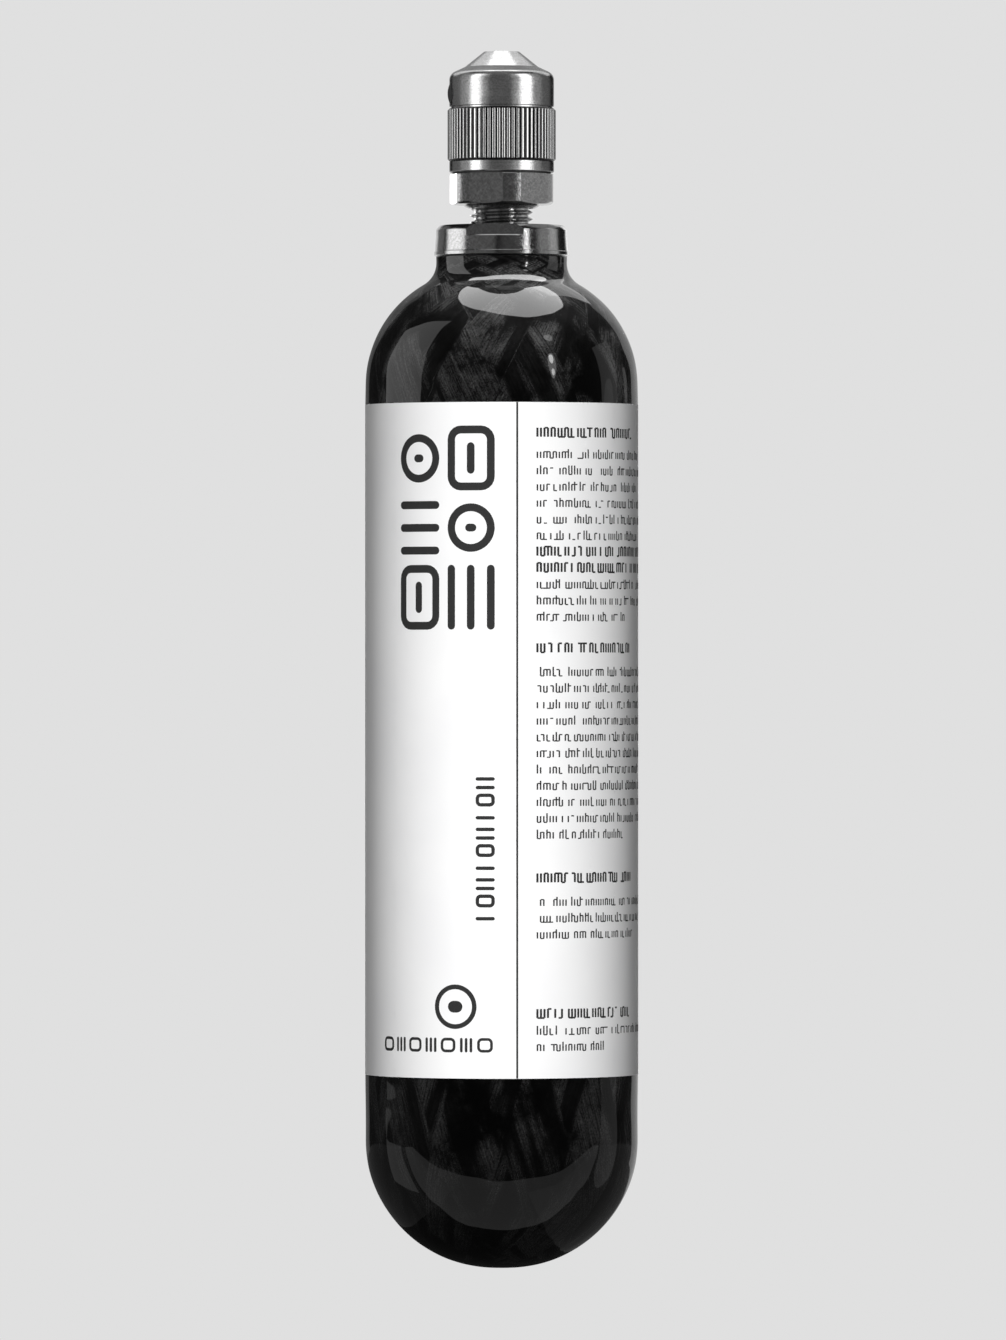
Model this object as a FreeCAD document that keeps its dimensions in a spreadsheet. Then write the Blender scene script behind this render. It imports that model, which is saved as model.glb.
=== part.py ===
"""Avalanche-airbag gas cartridge: a carbon-wrapped pressure cylinder with a pin valve and a screw cap.

Row frame in millimetres: +Z is the cylinder's axis, the origin is the lowest point of the domed base
and -Y is the side that carries the front of the label.
"""

import FreeCAD, Part

import os

import Sketcher

Vector = FreeCAD.Vector

# Every size is a cell of the spreadsheet: alias, value in millimetres or degrees, what it is.
SIZES = [
    # cylinder shell
    ("body_radius", 30.5, "outside radius of the wound shell"),
    ("base_knuckle", 28.8, "radius of the base dome beside the wall"),
    ("base_crown", 60.0, "radius of the base dome at its tip"),
    ("shoulder_level", 197.25, "height where the wall turns into the top dome"),
    ("shoulder_arc", 26.15, "radius of the top dome"),
    ("neck_radius", 14.65, "outside radius of the wound neck"),
    ("neck_fillet", 5.7, "hollow radius between the top dome and the neck"),
    ("neck_level", 226.2, "height where the winding ends"),
    ("ply_thickness", 0.4, "clear glass-fibre ply over the carbon"),
    ("carbon_thickness", 3.1, "carbon winding"),
    ("bond_line", 0.03, "resin film between two layers"),
    ("liner_wall", 2.0, "aluminium liner"),
    # liner neck
    ("boss_level", 230.7, "top of the liner's neck boss"),
    ("boss_foot", 212.0, "bottom of the liner's neck boss, inside the cylinder"),
    ("boss_foot_radius", 8.6, "radius of the boss at its foot"),
    ("boss_root_radius", 10.0, "radius where the boss leaves the inside of the dome"),
    ("seal_bore", 6.1, "bore for the neck seal"),
    ("seal_bore_level", 218.1, "top of the bore for the neck seal"),
    ("neck_thread_bore", 7.06, "bore of the neck thread, at its major radius"),
    # label
    ("label_low", 43.3, "lower edge of the label"),
    ("label_high", 193.0, "upper edge of the label"),
    ("label_inner", 30.505, "inside radius of the label"),
    ("label_outer", 30.565, "outside radius of the label's film"),
    # neck ring
    ("ring_low", 226.3, "bottom of the neck ring"),
    ("ring_high", 233.1, "top of the neck ring"),
    ("ring_radius", 14.7, "radius of the neck ring at its top"),
    ("ring_flare", 0.25, "how much wider the ring is near its bottom"),
    ("ring_lip", 15.1, "radius of the ring's bottom lip"),
    ("ring_lip_height", 0.9, "height of the ring's bottom lip"),
    ("ring_chamfer", 1.1, "chamfer round the ring's top"),
    ("ring_bore", 11.15, "bore that screws onto the liner's boss"),
    ("ring_hole", 7.5, "hole that clears the valve stem"),
    ("ring_flat", 13.2, "distance of each spanner flat from the axis"),
    ("ring_flat_height", 2.4, "height of the spanner flats"),
    ("ring_flat_edge", 0.2, "bevel along the outer edge under each flat"),
    ("ring_edge_span", 46.0, "angle about the axis that the bevel runs through"),
    ("ring_turn", 6.5, "turn of the spanner flats about the axis"),
    # valve body
    ("stem_foot", 209.0, "bottom of the valve stem"),
    ("stem_nose", 6.0, "radius of the stem's plain end"),
    ("stem_major", 7.0, "major radius of the stem thread"),
    ("thread_pitch", 1.5, "pitch of both threads"),
    ("thread_depth", 0.92, "depth of both threads"),
    ("stem_bore", 3.75, "bore that holds the valve pin's spring"),
    ("groove_low", 213.2, "bottom of the neck seal's groove"),
    ("groove_high", 215.8, "top of the neck seal's groove"),
    ("groove_radius", 4.75, "radius at the bottom of the groove"),
    ("hex_low", 237.8, "bottom of the hexagon"),
    ("hex_high", 244.6, "top of the hexagon"),
    ("hex_flats", 22.0, "hexagon across its flats"),
    ("hex_round", 11.7, "radius the hexagon's corners are turned to"),
    ("hex_chamfer", 0.5, "chamfer under the hexagon"),
    ("hex_edge", 0.15, "chamfer over the hexagon"),
    ("hex_turn", 11.5, "turn of the hexagon's front corner about the axis"),
    ("undercut_radius", 7.9, "undercut below the outlet thread"),
    ("undercut_high", 246.0, "top of the undercut"),
    ("outlet_major", 9.0, "major radius of the outlet thread"),
    ("outlet_high", 256.0, "top of the outlet thread"),
    ("nose_radius", 7.0, "radius of the outlet nose"),
    ("nose_high", 261.0, "top of the outlet nose"),
    ("nose_groove_low", 257.6, "bottom of the outlet seal's groove"),
    ("nose_groove_high", 259.4, "top of the outlet seal's groove"),
    ("nose_groove_radius", 5.8, "radius at the bottom of the outlet seal's groove"),
    ("outlet_bore", 2.6, "bore of the outlet"),
    ("guide_seat_level", 256.4, "floor of the seat for the pin guide"),
    ("guide_seat_radius", 3.6, "radius of the seat for the pin guide"),
    # washer under the hexagon
    ("washer_inner", 7.1, "inside radius of the washer"),
    ("washer_outer", 8.4, "outside radius of the washer's edge"),
    ("washer_thickness", 0.8, "thickness of the washer"),
    # valve pin and what holds it
    ("seat_level", 235.3, "shoulder that the valve seat is pressed against"),
    ("seat_thickness", 2.0, "thickness of the valve seat"),
    ("seat_inner", 2.2, "inside radius of the valve seat"),
    ("running_gap", 0.05, "clearance between parts that slide"),
    ("pin_radius", 1.4, "radius of the valve pin"),
    ("pin_high", 258.9, "top of the valve pin"),
    ("pin_head_radius", 3.4, "radius of the pin's head"),
    ("pin_head_height", 3.6, "height of the pin's head"),
    ("pin_tail_radius", 1.9, "radius of the tail that guides the spring"),
    ("pin_tail_length", 5.5, "length of the tail that guides the spring"),
    ("pin_seal_outer", 2.95, "outside radius of the pin's seal"),
    ("pin_seal_inner", 1.6, "inside radius of the pin's seal"),
    ("pin_seal_thickness", 1.0, "thickness of the pin's seal"),
    ("spring_radius", 2.85, "mean radius of the spring"),
    ("spring_wire", 0.4, "radius of the spring's wire"),
    ("spring_pitch", 2.2, "pitch of the spring"),
    ("retainer_radius", 3.7, "radius of the spring retainer"),
    ("retainer_height", 3.0, "height of the spring retainer"),
    ("retainer_socket", 3.5, "hexagon socket across its flats"),
    ("retainer_socket_depth", 1.8, "depth of the hexagon socket"),
    ("retainer_hole", 1.3, "gas hole through the retainer"),
    ("filter_thickness", 1.2, "thickness of the sintered filter"),
    ("guide_thickness", 1.5, "thickness of the pin guide"),
    ("guide_hole", 0.55, "radius of each gas hole in the pin guide"),
    ("guide_hole_circle", 2.45, "radius of the circle of gas holes"),
    # cap
    ("cap_low", 245.0, "bottom of the cap"),
    ("cap_radius", 11.7, "radius of the cap's plain bands"),
    ("cap_edge", 0.2, "chamfer round the cap's bottom"),
    ("knurl_radius", 12.1, "radius over the knurl"),
    ("knurl_low", 247.5, "bottom of the knurl"),
    ("knurl_high", 259.3, "top of the knurl"),
    ("knurl_chamfer", 0.45, "chamfer at the ends of the knurl"),
    ("knurl_depth", 0.5, "depth of the knurl's grooves"),
    ("knurl_count", 68, "number of grooves"),
    ("cap_groove_width", 0.35, "narrow groove over the knurl"),
    ("cap_groove_depth", 0.35, "its depth"),
    ("cap_shoulder_low", 265.7, "where the cap's round shoulder starts"),
    ("cap_shoulder_arc", 2.0, "radius of the round shoulder"),
    ("shoulder_slope", 25.0, "slope of the shoulder over its round part"),
    ("cone_foot", 8.2, "radius of the cone where it leaves the shoulder"),
    ("cap_nose_radius", 4.1, "radius of the flat tip"),
    ("cap_high", 272.0, "top of the flat tip"),
    ("cap_thread_bore", 9.1, "bore of the cap thread, at its major radius"),
    ("cap_thread_high", 256.7, "top of the cap thread"),
    ("cap_bore", 7.9, "bore over the outlet nose"),
    ("cap_bore_high", 264.8, "top of the cap's hollow"),
    ("centre_mark_radius", 1.1, "radius of the turning centre's mark in the tip"),
    # side vent and its plug
    ("vent_level", 262.6, "height of the side vent"),
    ("vent_turn", 10.0, "turn of the side vent towards the front"),
    ("vent_hole", 1.6, "radius of the side vent"),
    ("vent_seat", 2.25, "radius of the flat seat round the vent"),
    ("vent_seat_depth", 11.2, "distance of that seat from the axis"),
    ("plug_head", 2.2, "radius of the plug's head"),
    ("plug_out", 12.2, "distance of the middle of the plug's head from the axis"),
    ("plug_dome", 5.2, "radius of the head's domed face"),
    ("plug_in", 7.6, "distance of the plug's inner end from the axis"),
    # seals
    ("neck_seal_wire", 0.66, "section radius of the neck seal"),
    ("outlet_seal_wire", 0.74, "section radius of the outlet seal"),
    ("backup_thickness", 1.0, "thickness of the backup ring"),
    ("gasket_outer", 11.0, "outside radius of the cap gasket"),
    ("gasket_inner", 9.15, "inside radius of the cap gasket"),
    ("gasket_thickness", 0.32, "thickness of the cap gasket"),
]


class SizeNames:
    """Turns size.alias into the text that an expression uses for that cell."""

    def __getattr__(self, alias):
        return "Sizes." + alias


size = SizeNames()
CROWN_OFFSET = 1.414
KNURL_LAND = 0.05
doc = FreeCAD.newDocument("GasCartridge")


def make_sheet():
    """The spreadsheet that holds every driving dimension."""
    made = doc.addObject("Spreadsheet::Sheet", "Sizes")
    for row, (alias, value, meaning) in enumerate(SIZES, start=1):
        made.set(f"A{row}", meaning)
        made.set(f"B{row}", str(value))
        made.setAlias(f"B{row}", alias)
    doc.recompute()
    return made


sheet = make_sheet()


def value_of(expression):
    """The number that an expression of the sheet's cells stands for."""
    found = sheet.evalExpression(str(expression))
    return float(getattr(found, "Value", found))


def new_body(label):
    body = doc.addObject("PartDesign::Body", label)
    body.Label = label
    return body


def new_sketch(body, name, plane, offset=None):
    """A sketch on one of the body's origin planes."""
    sketch = body.newObject("Sketcher::SketchObject", f"{body.Name}_{name}")
    support = [o for o in body.Origin.OriginFeatures if o.Role == plane]
    sketch.AttachmentSupport = [(support[0], "")]
    sketch.MapMode = "FlatFace"
    if offset is not None:
        sketch.AttachmentOffset = offset
    return sketch


def bind(sketch, kind, where, across, expression):
    """One named constraint whose value follows an expression."""
    start = value_of(expression)
    index = sketch.addConstraint(Sketcher.Constraint(kind, *where, *across, start))
    name = f"c{index}"
    sketch.renameConstraint(index, name)
    sketch.setExpression(f"Constraints.{name}", str(expression))


def draw_outline(sketch, outline):
    """A closed outline of bound corners. A corner is (x, y); (x, y, "arc", (centre x, centre y), turn)
    has an arc to the next corner, anticlockwise where turn is "left"."""
    corners = [Vector(value_of(c[0]), value_of(c[1]), 0) for c in outline]
    ends = []
    for i, corner in enumerate(outline):
        start, end = corners[i], corners[(i + 1) % len(corners)]
        if len(corner) == 2:
            sketch.addGeometry(Part.LineSegment(start, end), False)
            ends.append((1, 2))
            continue
        centre = Vector(value_of(corner[3][0]), value_of(corner[3][1]), 0)
        circle = Part.Circle(centre, Vector(0, 0, 1), (start - centre).Length)
        first, last = (start, end) if corner[4] == "left" else (end, start)
        span = Part.ArcOfCircle(circle, circle.parameter(first), circle.parameter(last))
        sketch.addGeometry(span, False)
        ends.append((1, 2) if corner[4] == "left" else (2, 1))
    for i in range(len(outline)):
        after = (i + 1) % len(outline)
        joined = Sketcher.Constraint("Coincident", i, ends[i][1], after, ends[after][0])
        sketch.addConstraint(joined)
    for i, corner in enumerate(outline):
        bind(sketch, "DistanceX", (-1, 1), (i, ends[i][0]), corner[0])
        bind(sketch, "DistanceY", (-1, 1), (i, ends[i][0]), corner[1])
        if len(corner) > 2:
            bind(sketch, "DistanceX", (-1, 1), (i, 3), corner[3][0])


def draw_circle(sketch, x, y, radius):
    circle = Part.Circle(Vector(value_of(x), value_of(y), 0), Vector(0, 0, 1), value_of(radius))
    index = sketch.addGeometry(circle, False)
    bind(sketch, "DistanceX", (-1, 1), (index, 3), x)
    bind(sketch, "DistanceY", (-1, 1), (index, 3), y)
    bind(sketch, "Radius", (index,), (), radius)


def crowned(radius, level, wide, high, side):
    """Two corners of a chamfer with a slight crown, where side is 1 at the top and -1 at the bottom.
    The crown's arc has a radius of 1.5 times its chord."""
    offset = f"{CROWN_OFFSET} * ({high})"
    centre_x = f"{radius} - 0.5 * ({wide}) - {offset}"
    centre_z = f"{level} - {side} * (0.5 * ({high}) + {CROWN_OFFSET} * ({wide}))"
    outer = (radius, f"{level} - {side} * ({high})")
    inner = (f"{radius} - ({wide})", level)
    first, last = (outer, inner) if side == 1 else (inner, outer)
    return [(*first, "arc", (centre_x, centre_z), "left"), last]


def turned(label, outline):
    """A body turned about Z from an outline of (radius, height) corners."""
    body = new_body(label)
    sketch = new_sketch(body, "outline", "XZ_Plane")
    draw_outline(sketch, outline)
    turn = body.newObject("PartDesign::Revolution", f"{label}_turned")
    turn.Profile = sketch
    turn.ReferenceAxis = (sketch, ["V_Axis"])
    turn.Angle = 360
    doc.recompute()
    return body


def cut_along(body, sketch, name, length, upwards):
    """A pocket of a set length, with a check that it did cut."""
    before = body.Shape.Volume
    pocket = body.newObject("PartDesign::Pocket", f"{body.Name}_{name}")
    pocket.Profile = sketch
    pocket.setExpression("Length", str(length))
    pocket.Reversed = upwards
    doc.recompute()
    if body.Shape.Volume > before - 1e-6:
        raise RuntimeError(f"{name} cuts nothing from {body.Label}")
    return pocket


def cut_thread(body, name, major, low, height):
    """A right-hand 60 degree thread, cut as one helical groove."""
    sketch = new_sketch(body, f"{name}_section", "XZ_Plane")
    root = f"{major} - {size.thread_depth}"
    rim = f"{major} + 0.1 * {size.thread_depth}"
    half_root = f"{size.thread_pitch} / 8"
    half_rim = f"{size.thread_pitch} / 2 * 0.97"
    outline = [
        (root, f"{low} - {half_root}"),
        (rim, f"{low} - {half_rim}"),
        (rim, f"{low} + {half_rim}"),
        (root, f"{low} + {half_root}"),
    ]
    draw_outline(sketch, outline)
    before = body.Shape.Volume
    groove = body.newObject("PartDesign::SubtractiveHelix", f"{body.Name}_{name}")
    groove.Profile = sketch
    groove.ReferenceAxis = (sketch, ["V_Axis"])
    groove.Mode = "pitch-height-angle"
    groove.setExpression("Pitch", size.thread_pitch)
    groove.setExpression("Height", str(height))
    groove.LeftHanded = False
    doc.recompute()
    if body.Shape.Volume > before - 1e-6:
        raise RuntimeError(f"{name} cuts nothing from {body.Label}")


def turn_about_axis(made, angle):
    """Turns a finished piece about Z, by its Placement."""
    made.Placement = FreeCAD.Placement(Vector(0, 0, 0), FreeCAD.Rotation(Vector(0, 0, 1), value_of(angle)))
    made.setExpression("Placement.Rotation.Angle", str(angle))


def ring(label, inner, outer, low, high):
    """A plain ring made of one cylinder cut from another."""
    solids = []
    for part_name, radius in (("outside", outer), ("inside", inner)):
        cylinder = doc.addObject("Part::Cylinder", f"{label}_{part_name}")
        cylinder.setExpression("Radius", str(radius))
        cylinder.setExpression("Height", f"{high} - ({low})")
        cylinder.setExpression("Placement.Base.z", str(low))
        solids.append(cylinder)
    made = doc.addObject("Part::Cut", label)
    made.Base, made.Tool = solids
    made.Label = label
    return made


def disc(label, radius, low, high):
    made = doc.addObject("Part::Cylinder", label)
    made.setExpression("Radius", str(radius))
    made.setExpression("Height", f"{high} - ({low})")
    made.setExpression("Placement.Base.z", str(low))
    made.Label = label
    return made


def o_ring(label, centre_radius, wire, level):
    made = doc.addObject("Part::Torus", label)
    made.setExpression("Radius1", str(centre_radius))
    made.setExpression("Radius2", str(wire))
    made.setExpression("Placement.Base.z", str(level))
    made.Label = label
    return made


def hexagon(across, turn):
    """Corners of a hexagon with one corner turned by that many degrees from +X."""
    corner = f"({across}) / sqrt(3)"
    angles = [f"({turn} + {60 * i})" for i in range(6)]
    return [(f"{corner} * cos({a})", f"{corner} * sin({a})") for a in angles]


# ---------------------------------------------------------------- shell of the cylinder


class Layer:
    """The outline of one surface of the shell, a set depth below the outside."""

    def __init__(self, depth):
        self.depth = depth
        self.wall = f"({size.body_radius} - ({depth}))"
        self.neck = f"({size.neck_radius} - ({depth}))"
        self.knuckle = f"({size.base_knuckle} - ({depth}))"
        self.crown = f"({size.base_crown} - ({depth}))"
        self.dome = f"({size.shoulder_arc} - ({depth}))"
        self.hollow = f"({size.neck_fillet} + ({depth}))"

        reach = f"({size.base_crown} - {size.base_knuckle})"
        self.knuckle_x = f"({size.body_radius} - {size.base_knuckle})"
        self.knuckle_z = f"({size.base_crown} - sqrt({reach}^2 - {self.knuckle_x}^2))"
        self.tip = f"({size.base_crown} - {self.crown})"
        self.base_x = f"({self.crown} * {self.knuckle_x} / {reach})"
        self.base_z = (
            f"({size.base_crown} + {self.crown} * ({self.knuckle_z} - {size.base_crown}) / {reach})"
        )

        self.dome_x = f"({size.body_radius} - {size.shoulder_arc})"
        span = f"({size.shoulder_arc} + {size.neck_fillet})"
        self.hollow_x = f"({size.neck_radius} + {size.neck_fillet})"
        gap_x = f"({self.hollow_x} - {self.dome_x})"
        rise = f"sqrt({span}^2 - {gap_x}^2)"
        self.hollow_z = f"({size.shoulder_level} + {rise})"
        self.turn_x = f"({self.dome_x} + {self.dome} * {gap_x} / {span})"
        self.turn_z = f"({size.shoulder_level} + {self.dome} * {rise} / {span})"

    def upwards(self, top):
        """Corners from the tip of the base up to the neck."""
        return [
            ("0", self.tip, "arc", ("0", size.base_crown), "left"),
            (self.base_x, self.base_z, "arc", (self.knuckle_x, self.knuckle_z), "left"),
            (self.wall, self.knuckle_z),
            (self.wall, size.shoulder_level, "arc", (self.dome_x, size.shoulder_level), "left"),
            (self.turn_x, self.turn_z, "arc", (self.hollow_x, self.hollow_z), "right"),
            (self.neck, self.hollow_z),
            (self.neck, top),
        ]

    def downwards(self, top):
        """Corners from the neck down to the tip of the base."""
        return [
            (self.neck, top),
            (self.neck, self.hollow_z, "arc", (self.hollow_x, self.hollow_z), "left"),
            (self.turn_x, self.turn_z, "arc", (self.dome_x, size.shoulder_level), "right"),
            (self.wall, size.shoulder_level),
            (self.wall, self.knuckle_z, "arc", (self.knuckle_x, self.knuckle_z), "right"),
            (self.base_x, self.base_z, "arc", ("0", size.base_crown), "right"),
            ("0", self.tip),
        ]


PLY_INSIDE = size.ply_thickness
CARBON_OUTSIDE = f"{PLY_INSIDE} + {size.bond_line}"
CARBON_INSIDE = f"{CARBON_OUTSIDE} + {size.carbon_thickness}"
LINER_OUTSIDE = f"{CARBON_INSIDE} + {size.bond_line}"
LINER_INSIDE = f"{LINER_OUTSIDE} + {size.liner_wall}"


def make_shell():
    """The two wound layers, each open at the neck."""
    glass = Layer("0").upwards(size.neck_level) + Layer(PLY_INSIDE).downwards(size.neck_level)
    turned("glass_ply", glass)
    carbon = Layer(CARBON_OUTSIDE).upwards(size.neck_level)
    carbon += Layer(CARBON_INSIDE).downwards(size.neck_level)
    turned("carbon_overwrap", carbon)


def make_liner():
    """The seamless aluminium bottle, with a thick neck boss that hangs a little way inside."""
    inside = Layer(LINER_INSIDE)
    boss_reach = f"({size.boss_root_radius} - {inside.dome_x})"
    root_z = f"({size.shoulder_level} + sqrt({inside.dome}^2 - {boss_reach}^2))"
    outline = Layer(LINER_OUTSIDE).upwards(size.boss_level) + [
        (size.neck_thread_bore, size.boss_level),
        (size.neck_thread_bore, size.seal_bore_level),
        (size.seal_bore, size.seal_bore_level),
        (size.seal_bore, size.boss_foot),
        (size.boss_foot_radius, size.boss_foot),
        (size.boss_root_radius, root_z, "arc", (inside.dome_x, size.shoulder_level), "right"),
    ]
    turned("liner", outline + inside.downwards(size.boss_level)[3:])


def make_neck_ring():
    """The steel ring round the liner's boss, with two spanner flats in its top."""
    lip_high = f"{size.ring_low} + {size.ring_lip_height}"
    chamfer = size.ring_chamfer
    outline = [
        (size.ring_bore, size.ring_low),
        (f"{size.ring_lip} - 0.15", size.ring_low),
        (size.ring_lip, f"{size.ring_low} + 0.15"),
        (size.ring_lip, lip_high),
        (f"{size.ring_radius} + {size.ring_flare}", f"{lip_high} + 0.12"),
        (size.ring_radius, f"{size.ring_high} - {size.ring_flat_height}"),
        *crowned(size.ring_radius, size.ring_high, f"0.85 * {chamfer}", chamfer, 1),
        (size.ring_hole, size.ring_high),
        (size.ring_hole, f"{size.boss_level} + {size.bond_line}"),
        (size.ring_bore, f"{size.boss_level} + {size.bond_line}"),
    ]
    body = turned("neck_ring", outline)
    floor = f"{size.ring_high} - {size.ring_flat_height}"
    at_floor = FreeCAD.Placement(Vector(0, 0, value_of(floor)), FreeCAD.Rotation())
    for name, side in (("front_flat", -1), ("back_flat", 1)):
        sketch = new_sketch(body, f"{name}_outline", "XY_Plane", at_floor)
        sketch.setExpression("AttachmentOffset.Base.z", floor)
        near, far = f"{side} * {size.ring_flat}", f"{side} * 2 * {size.ring_flat}"
        wide = size.ring_radius
        draw_outline(sketch, [(f"-{wide}", near), (wide, near), (wide, far), (f"-{wide}", far)])
        cut_along(body, sketch, name, f"2 * {size.ring_flat_height}", upwards=True)
        bevel = new_sketch(body, f"{name}_bevel_outline", "YZ_Plane")
        past = f"({size.ring_flat_edge} + 0.05)"
        inner, outer = f"{side} * ({wide} - {past})", f"{side} * ({wide} + 0.05)"
        high = f"{floor} + 0.05"
        draw_outline(bevel, [(inner, high), (outer, high), (outer, f"{floor} - {past}")])
        cut = body.newObject("PartDesign::Groove", f"{name}_bevel")
        cut.Profile = bevel
        cut.ReferenceAxis = (bevel, ["V_Axis"])
        cut.Midplane = True
        cut.setExpression("Angle", size.ring_edge_span)
        doc.recompute()
    turn_about_axis(body, f"-{size.ring_turn}")


def make_label():
    ring("label_sleeve", size.label_inner, size.label_outer, size.label_low, size.label_high)


# ---------------------------------------------------------------- valve


def make_valve_body():
    """The one-piece valve body: sealed stem, hexagon, outlet thread and nose."""
    edge, chamfer = size.hex_edge, size.hex_chamfer
    outline = [
        (size.stem_bore, size.stem_foot),
        (f"{size.stem_nose} - 0.5", size.stem_foot),
        (size.stem_nose, f"{size.stem_foot} + 0.5"),
        (size.stem_nose, size.groove_low),
        (size.groove_radius, size.groove_low),
        (size.groove_radius, size.groove_high),
        (size.stem_nose, size.groove_high),
        (size.stem_nose, f"{size.seal_bore_level} - 0.1"),
        (size.stem_major, f"{size.seal_bore_level} + 0.9"),
        (size.stem_major, size.hex_low),
        *crowned(size.hex_round, size.hex_low, f"1.7 * {chamfer}", chamfer, -1),
        *crowned(size.hex_round, size.hex_high, edge, edge, 1),
        (size.undercut_radius, size.hex_high),
        (size.undercut_radius, size.undercut_high),
        (size.outlet_major, f"{size.undercut_high} + 0.6"),
        (size.outlet_major, f"{size.outlet_high} - 0.9"),
        (f"{size.outlet_major} - 0.9", size.outlet_high),
        (size.nose_radius, size.outlet_high),
        (size.nose_radius, size.nose_groove_low),
        (size.nose_groove_radius, size.nose_groove_low),
        (size.nose_groove_radius, size.nose_groove_high),
        (size.nose_radius, size.nose_groove_high),
        (size.nose_radius, f"{size.nose_high} - 0.6"),
        (f"{size.nose_radius} - 0.6", size.nose_high),
        (f"{size.guide_seat_radius} + 0.3", size.nose_high),
        (size.guide_seat_radius, f"{size.nose_high} - 0.3"),
        (size.guide_seat_radius, size.guide_seat_level),
        (size.outlet_bore, size.guide_seat_level),
        (size.outlet_bore, size.seat_level),
        (size.stem_bore, size.seat_level),
    ]
    body = turned("valve_body", outline)
    lift = FreeCAD.Placement(Vector(0, 0, value_of(size.hex_low)), FreeCAD.Rotation())
    flats = new_sketch(body, "flats", "XY_Plane", lift)
    flats.setExpression("AttachmentOffset.Base.z", size.hex_low)
    draw_outline(flats, hexagon(size.hex_flats, f"{size.hex_turn} - 90"))
    draw_circle(flats, "0", "0", f"1.2 * {size.hex_round}")
    cut_along(body, flats, "hexagon", f"{size.hex_high} - {size.hex_low}", upwards=True)
    low = f"{size.seal_bore_level} - 0.8"
    cut_thread(body, "stem_thread", size.stem_major, low, f"{size.hex_low} - 0.8 - ({low})")
    low = f"{size.undercut_high} - 1"
    cut_thread(body, "outlet_thread", size.outlet_major, low, f"{size.outlet_high} + 1 - ({low})")


def make_washer():
    """The thin washer under the hexagon, bevelled to a sharp rim."""
    high = f"{size.hex_low} - 0.02"
    low = f"{high} - {size.washer_thickness}"
    outline = [
        (size.washer_inner, low),
        (f"{size.washer_outer} - 0.9", low),
        (size.washer_outer, f"{high} - 0.45 * {size.washer_thickness}"),
        (f"{size.washer_outer} - 0.5", high),
        (size.washer_inner, high),
    ]
    turned("stem_washer", outline)


SEAT_LOW = f"({size.seat_level} - {size.seat_thickness})"
PIN_STOP = f"({SEAT_LOW} - 0.02)"
HEAD_LOW = f"({PIN_STOP} - {size.pin_head_height})"
RETAINER_LOW = f"({size.stem_foot} + 0.2)"
RETAINER_HIGH = f"({RETAINER_LOW} + {size.retainer_height})"
FILTER_HIGH = f"({RETAINER_HIGH} + {size.filter_thickness})"


def make_valve_pin():
    """The pin that the airbag unit pushes down, with the soft seal let into its head."""
    seal_floor = f"{PIN_STOP} - {size.pin_seal_thickness}"
    rim = f"{size.pin_seal_outer} + 0.02"
    root = f"{size.pin_seal_inner} - 0.02"
    outline = [
        ("0", f"{HEAD_LOW} - {size.pin_tail_length}"),
        (f"{size.pin_tail_radius} - 0.4", f"{HEAD_LOW} - {size.pin_tail_length}"),
        (size.pin_tail_radius, f"{HEAD_LOW} - {size.pin_tail_length} + 0.4"),
        (size.pin_tail_radius, HEAD_LOW),
        (size.pin_head_radius, HEAD_LOW),
        (size.pin_head_radius, f"{PIN_STOP} - 0.5"),
        (f"{size.pin_head_radius} - 0.2", f"{PIN_STOP} - 0.2"),
        (rim, f"{PIN_STOP} - 0.2"),
        (rim, seal_floor),
        (root, seal_floor),
        (root, f"{PIN_STOP} - 0.2"),
        (size.pin_radius, PIN_STOP),
        (size.pin_radius, f"{size.pin_high} - 0.5"),
        (f"{size.pin_radius} - 0.5", size.pin_high),
        ("0", size.pin_high),
    ]
    turned("valve_pin", outline)
    high = PIN_STOP
    low = f"{seal_floor} + 0.01"
    ring("pin_seal", size.pin_seal_inner, size.pin_seal_outer, low, high)


def make_seat():
    gap = f"{size.stem_bore} - 0.02"
    ring("valve_seat", size.seat_inner, gap, SEAT_LOW, f"{size.seat_level} - 0.01")


def make_spring():
    """The return spring: round wire swept along a helix."""
    low = f"{FILTER_HIGH} + {size.spring_wire} + 0.02"
    spine = doc.addObject("Part::Helix", "spring_spine")
    spine.setExpression("Radius", size.spring_radius)
    spine.setExpression("Pitch", size.spring_pitch)
    spine.setExpression("Height", f"{HEAD_LOW} - {size.spring_wire} - 0.02 - ({low})")
    spine.setExpression("Placement.Base.z", low)
    wire = doc.addObject("Part::Circle", "spring_wire_section")
    wire.setExpression("Radius", size.spring_wire)
    wire.Placement = FreeCAD.Placement(Vector(0, 0, 0), FreeCAD.Rotation(Vector(1, 0, 0), 90))
    wire.setExpression("Placement.Base.x", size.spring_radius)
    wire.setExpression("Placement.Base.z", low)
    made = doc.addObject("Part::Sweep", "pin_spring")
    made.Sections = [wire]
    made.Spine = (spine, [])
    made.Solid = True
    made.Frenet = True
    made.Label = "pin_spring"
    doc.recompute()


def make_retainer():
    """The hollow screw that closes the stem, with a hexagon socket for its key."""
    outline = [
        (size.retainer_hole, RETAINER_LOW),
        (f"{size.retainer_radius} - 0.3", RETAINER_LOW),
        (size.retainer_radius, f"{RETAINER_LOW} + 0.3"),
        (size.retainer_radius, RETAINER_HIGH),
        (size.retainer_hole, RETAINER_HIGH),
    ]
    body = turned("spring_retainer", outline)
    lift = FreeCAD.Placement(Vector(0, 0, value_of(RETAINER_LOW)), FreeCAD.Rotation())
    socket = new_sketch(body, "socket", "XY_Plane", lift)
    socket.setExpression("AttachmentOffset.Base.z", RETAINER_LOW)
    draw_outline(socket, hexagon(size.retainer_socket, "0"))
    cut_along(body, socket, "hexagon_socket", size.retainer_socket_depth, upwards=True)


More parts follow.
